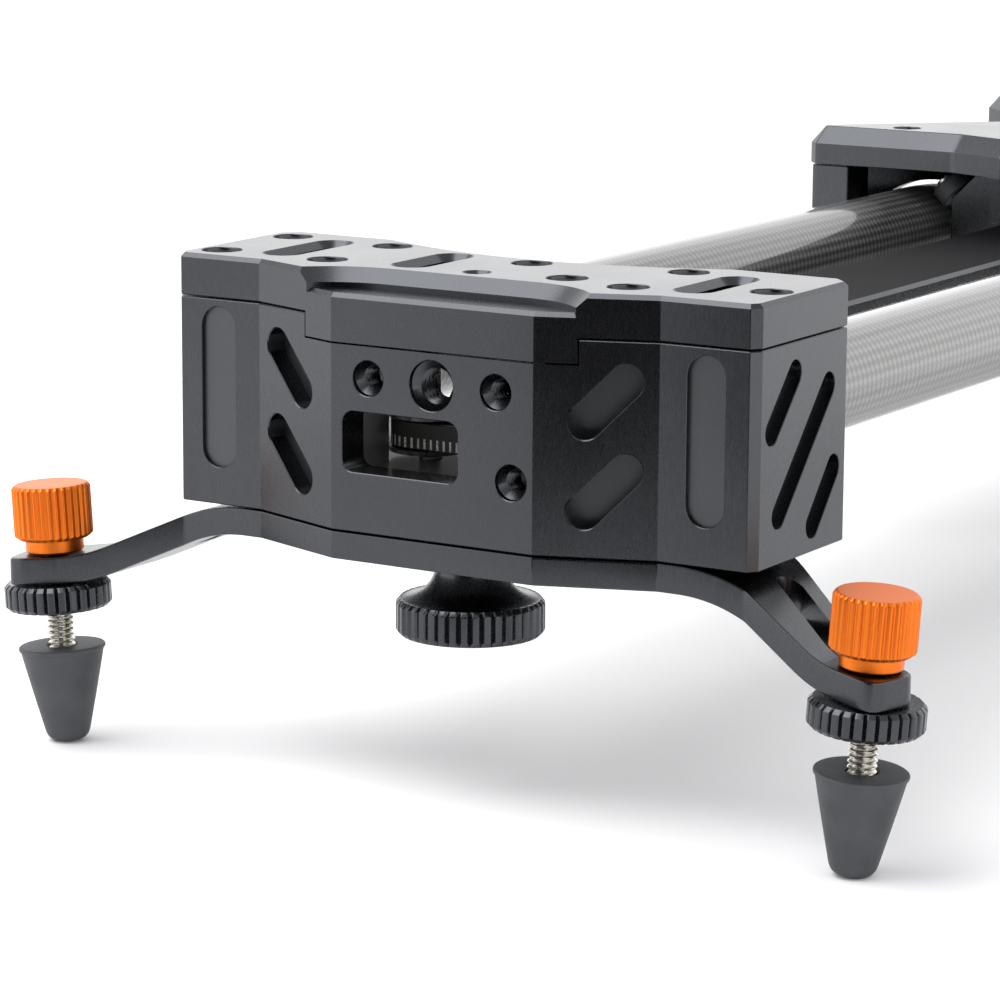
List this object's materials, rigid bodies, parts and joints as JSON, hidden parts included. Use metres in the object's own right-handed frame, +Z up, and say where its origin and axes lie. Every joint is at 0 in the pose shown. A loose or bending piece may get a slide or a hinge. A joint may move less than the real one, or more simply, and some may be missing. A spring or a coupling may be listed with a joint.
{
  "type": "camera slider",
  "caption": "Long low camera slider: roller carriage on two carbon tubes and a centre bar, belt round idlers at both ends, slotted end blocks on bent leg bars with screw feet.",
  "frame": {"origin": "on the floor, under the middle of the rails", "axes": "+Y along the rails towards the rear end, +X to the right seen from the front end, +Z up"},
  "size_m": [0.2352, 0.8186, 0.1313],
  "materials": {
    "black_anodised": "satin black anodised, finely brushed",
    "orange_anodised": "orange anodised, knurled",
    "carbon": "clear-coated woven carbon tube",
    "rubber": "matt moulded rubber",
    "steel": "bright turned and threaded",
    "belt_rubber": "matt toothed belt",
    "pulley": "dark anodised with a bright turned rim"
  },
  "bodies": {
    "slider_frame": {"front_end_block": "black_anodised", "front_top_plate": "black_anodised", "front_leg_bar": "black_anodised", "front_right_idler_axle": "steel", "front_left_idler_axle": "steel", "rear_end_block": "black_anodised", "rear_top_plate": "black_anodised", "rear_leg_bar": "black_anodised", "rear_right_idler_axle": "steel", "rear_left_idler_axle": "steel", "right_rail": "carbon", "left_rail": "carbon", "centre_bar": "black_anodised", "belt": "belt_rubber"},
    "carriage": {"carriage_plate": "black_anodised", "carriage_saddle": "black_anodised", "camera_screw": "steel", "carriage_front_right_cheek": "black_anodised", "carriage_front_left_cheek": "black_anodised", "carriage_rear_right_cheek": "black_anodised", "carriage_rear_left_cheek": "black_anodised", "front_right_upper_roller_bolt": "steel", "front_right_lower_roller_bolt": "steel", "front_left_upper_roller_bolt": "steel", "front_left_lower_roller_bolt": "steel", "rear_right_upper_roller_bolt": "steel", "rear_right_lower_roller_bolt": "steel", "rear_left_upper_roller_bolt": "steel", "rear_left_lower_roller_bolt": "steel"},
    "front_lock_knob": {"front_lock_knob": "black_anodised"},
    "front_right_foot": {"front_right_rubber_foot": "rubber"},
    "front_right_foot_screw": {"front_right_stud": "steel", "front_right_foot_knob": "orange_anodised"},
    "front_right_thumbwheel": {"front_right_thumbwheel": "black_anodised"},
    "front_right_idler": {"front_right_idler": "pulley"},
    "front_left_foot": {"front_left_rubber_foot": "rubber"},
    "front_left_foot_screw": {"front_left_stud": "steel", "front_left_foot_knob": "orange_anodised"},
    "front_left_thumbwheel": {"front_left_thumbwheel": "black_anodised"},
    "front_left_idler": {"front_left_idler": "pulley"},
    "rear_lock_knob": {"rear_lock_knob": "black_anodised"},
    "rear_right_foot": {"rear_right_rubber_foot": "rubber"},
    "rear_right_foot_screw": {"rear_right_stud": "steel", "rear_right_foot_knob": "orange_anodised"},
    "rear_right_thumbwheel": {"rear_right_thumbwheel": "black_anodised"},
    "rear_right_idler": {"rear_right_idler": "pulley"},
    "rear_left_foot": {"rear_left_rubber_foot": "rubber"},
    "rear_left_foot_screw": {"rear_left_stud": "steel", "rear_left_foot_knob": "orange_anodised"},
    "rear_left_thumbwheel": {"rear_left_thumbwheel": "black_anodised"},
    "rear_left_idler": {"rear_left_idler": "pulley"},
    "brake_knob": {"brake_knob": "orange_anodised"},
    "front_right_upper_roller": {"front_right_upper_roller": "rubber"},
    "front_right_lower_roller": {"front_right_lower_roller": "rubber"},
    "front_left_upper_roller": {"front_left_upper_roller": "rubber"},
    "front_left_lower_roller": {"front_left_lower_roller": "rubber"},
    "rear_right_upper_roller": {"rear_right_upper_roller": "rubber"},
    "rear_right_lower_roller": {"rear_right_lower_roller": "rubber"},
    "rear_left_upper_roller": {"rear_left_upper_roller": "rubber"},
    "rear_left_lower_roller": {"rear_left_lower_roller": "rubber"}
  },
  "joints": [
    {"name": "carriage_slide", "type": "slide", "parent": "slider_frame", "child": "carriage", "axis": [0, 1, 0], "range_m": [-0.274, 0.274]},
    {"name": "front_right_upper_roller_spin", "type": "hinge", "parent": "carriage", "child": "front_right_upper_roller", "pos_m": [0.03739, -0.052, 0.10136], "axis": [-0.7071, 0, -0.7071], "continuous": true},
    {"name": "front_right_lower_roller_spin", "type": "hinge", "parent": "carriage", "child": "front_right_lower_roller", "pos_m": [0.03739, -0.052, 0.07548], "axis": [0.7071, 0, -0.7071], "continuous": true},
    {"name": "front_left_upper_roller_spin", "type": "hinge", "parent": "carriage", "child": "front_left_upper_roller", "pos_m": [-0.03739, -0.052, 0.10136], "axis": [-0.7071, 0, 0.7071], "continuous": true},
    {"name": "front_left_lower_roller_spin", "type": "hinge", "parent": "carriage", "child": "front_left_lower_roller", "pos_m": [-0.03739, -0.052, 0.07548], "axis": [0.7071, 0, 0.7071], "continuous": true},
    {"name": "rear_right_upper_roller_spin", "type": "hinge", "parent": "carriage", "child": "rear_right_upper_roller", "pos_m": [0.03739, 0.052, 0.10136], "axis": [-0.7071, 0, -0.7071], "continuous": true},
    {"name": "rear_right_lower_roller_spin", "type": "hinge", "parent": "carriage", "child": "rear_right_lower_roller", "pos_m": [0.03739, 0.052, 0.07548], "axis": [0.7071, 0, -0.7071], "continuous": true},
    {"name": "rear_left_upper_roller_spin", "type": "hinge", "parent": "carriage", "child": "rear_left_upper_roller", "pos_m": [-0.03739, 0.052, 0.10136], "axis": [-0.7071, 0, 0.7071], "continuous": true},
    {"name": "rear_left_lower_roller_spin", "type": "hinge", "parent": "carriage", "child": "rear_left_lower_roller", "pos_m": [-0.03739, 0.052, 0.07548], "axis": [0.7071, 0, 0.7071], "continuous": true},
    {"name": "front_right_idler_spin", "type": "hinge", "parent": "slider_frame", "child": "front_right_idler", "pos_m": [0.0178, -0.372, 0.078], "axis": [0, 0, 1], "continuous": true},
    {"name": "front_right_foot_height", "type": "slide", "parent": "slider_frame", "child": "front_right_foot", "axis": [0.0698, 0, 0.9976], "range_m": [0, 0.0076]},
    {"name": "front_right_foot_screw_turn", "type": "hinge", "parent": "front_right_foot", "child": "front_right_foot_screw", "pos_m": [0.106, -0.3968, 0.045], "axis": [0.0698, 0, 0.9976], "range_deg": [0, 2160]},
    {"name": "front_right_thumbwheel_turn", "type": "hinge", "parent": "slider_frame", "child": "front_right_thumbwheel", "pos_m": [0.106, -0.3968, 0.045], "axis": [0.0698, 0, 0.9976], "range_deg": [0, 360]},
    {"name": "front_left_idler_spin", "type": "hinge", "parent": "slider_frame", "child": "front_left_idler", "pos_m": [-0.0178, -0.372, 0.078], "axis": [0, 0, 1], "continuous": true},
    {"name": "front_left_foot_height", "type": "slide", "parent": "slider_frame", "child": "front_left_foot", "axis": [-0.0698, 0, 0.9976], "range_m": [0, 0.0076]},
    {"name": "front_left_foot_screw_turn", "type": "hinge", "parent": "front_left_foot", "child": "front_left_foot_screw", "pos_m": [-0.106, -0.3968, 0.045], "axis": [-0.0698, 0, 0.9976], "range_deg": [0, 2160]},
    {"name": "front_left_thumbwheel_turn", "type": "hinge", "parent": "slider_frame", "child": "front_left_thumbwheel", "pos_m": [-0.106, -0.3968, 0.045], "axis": [-0.0698, 0, 0.9976], "range_deg": [0, 360]},
    {"name": "front_lock_knob_turn", "type": "hinge", "parent": "slider_frame", "child": "front_lock_knob", "pos_m": [0, -0.383, 0.0445], "axis": [0, 0, 1], "range_deg": [-1080, 0]},
    {"name": "rear_right_idler_spin", "type": "hinge", "parent": "slider_frame", "child": "rear_right_idler", "pos_m": [0.0178, 0.372, 0.078], "axis": [0, 0, 1], "continuous": true},
    {"name": "rear_right_foot_height", "type": "slide", "parent": "slider_frame", "child": "rear_right_foot", "axis": [0.0698, 0, 0.9976], "range_m": [0, 0.0076]},
    {"name": "rear_right_foot_screw_turn", "type": "hinge", "parent": "rear_right_foot", "child": "rear_right_foot_screw", "pos_m": [0.106, 0.3968, 0.045], "axis": [0.0698, 0, 0.9976], "range_deg": [0, 2160]},
    {"name": "rear_right_thumbwheel_turn", "type": "hinge", "parent": "slider_frame", "child": "rear_right_thumbwheel", "pos_m": [0.106, 0.3968, 0.045], "axis": [0.0698, 0, 0.9976], "range_deg": [0, 360]},
    {"name": "rear_left_idler_spin", "type": "hinge", "parent": "slider_frame", "child": "rear_left_idler", "pos_m": [-0.0178, 0.372, 0.078], "axis": [0, 0, 1], "continuous": true},
    {"name": "rear_left_foot_height", "type": "slide", "parent": "slider_frame", "child": "rear_left_foot", "axis": [-0.0698, 0, 0.9976], "range_m": [0, 0.0076]},
    {"name": "rear_left_foot_screw_turn", "type": "hinge", "parent": "rear_left_foot", "child": "rear_left_foot_screw", "pos_m": [-0.106, 0.3968, 0.045], "axis": [-0.0698, 0, 0.9976], "range_deg": [0, 2160]},
    {"name": "rear_left_thumbwheel_turn", "type": "hinge", "parent": "slider_frame", "child": "rear_left_thumbwheel", "pos_m": [-0.106, 0.3968, 0.045], "axis": [-0.0698, 0, 0.9976], "range_deg": [0, 360]},
    {"name": "rear_lock_knob_turn", "type": "hinge", "parent": "slider_frame", "child": "rear_lock_knob", "pos_m": [0, 0.383, 0.0445], "axis": [0, 0, 1], "range_deg": [-1080, 0]},
    {"name": "brake_knob_turn", "type": "hinge", "parent": "carriage", "child": "brake_knob", "pos_m": [0, 0.054, 0.119], "axis": [0, 0, 1], "range_deg": [0, 360]}
  ],
  "couplings": [
    {"joint": "front_right_upper_roller_spin", "follows": "carriage_slide", "rad_per_m": 181.82},
    {"joint": "front_right_lower_roller_spin", "follows": "carriage_slide", "rad_per_m": 181.82},
    {"joint": "front_left_upper_roller_spin", "follows": "carriage_slide", "rad_per_m": 181.82},
    {"joint": "front_left_lower_roller_spin", "follows": "carriage_slide", "rad_per_m": 181.82},
    {"joint": "rear_right_upper_roller_spin", "follows": "carriage_slide", "rad_per_m": 181.82},
    {"joint": "rear_right_lower_roller_spin", "follows": "carriage_slide", "rad_per_m": 181.82},
    {"joint": "rear_left_upper_roller_spin", "follows": "carriage_slide", "rad_per_m": 181.82},
    {"joint": "rear_left_lower_roller_spin", "follows": "carriage_slide", "rad_per_m": 181.82},
    {"joint": "front_right_idler_spin", "follows": "carriage_slide", "rad_per_m": 121.95},
    {"joint": "front_right_foot_screw_turn", "follows": "front_right_foot_height", "rad_per_m": 4947.4},
    {"joint": "front_left_idler_spin", "follows": "carriage_slide", "rad_per_m": 121.95},
    {"joint": "front_left_foot_screw_turn", "follows": "front_left_foot_height", "rad_per_m": 4947.4},
    {"joint": "rear_right_idler_spin", "follows": "carriage_slide", "rad_per_m": 121.95},
    {"joint": "rear_right_foot_screw_turn", "follows": "rear_right_foot_height", "rad_per_m": 4947.4},
    {"joint": "rear_left_idler_spin", "follows": "carriage_slide", "rad_per_m": 121.95},
    {"joint": "rear_left_foot_screw_turn", "follows": "rear_left_foot_height", "rad_per_m": 4947.4}
  ]
}
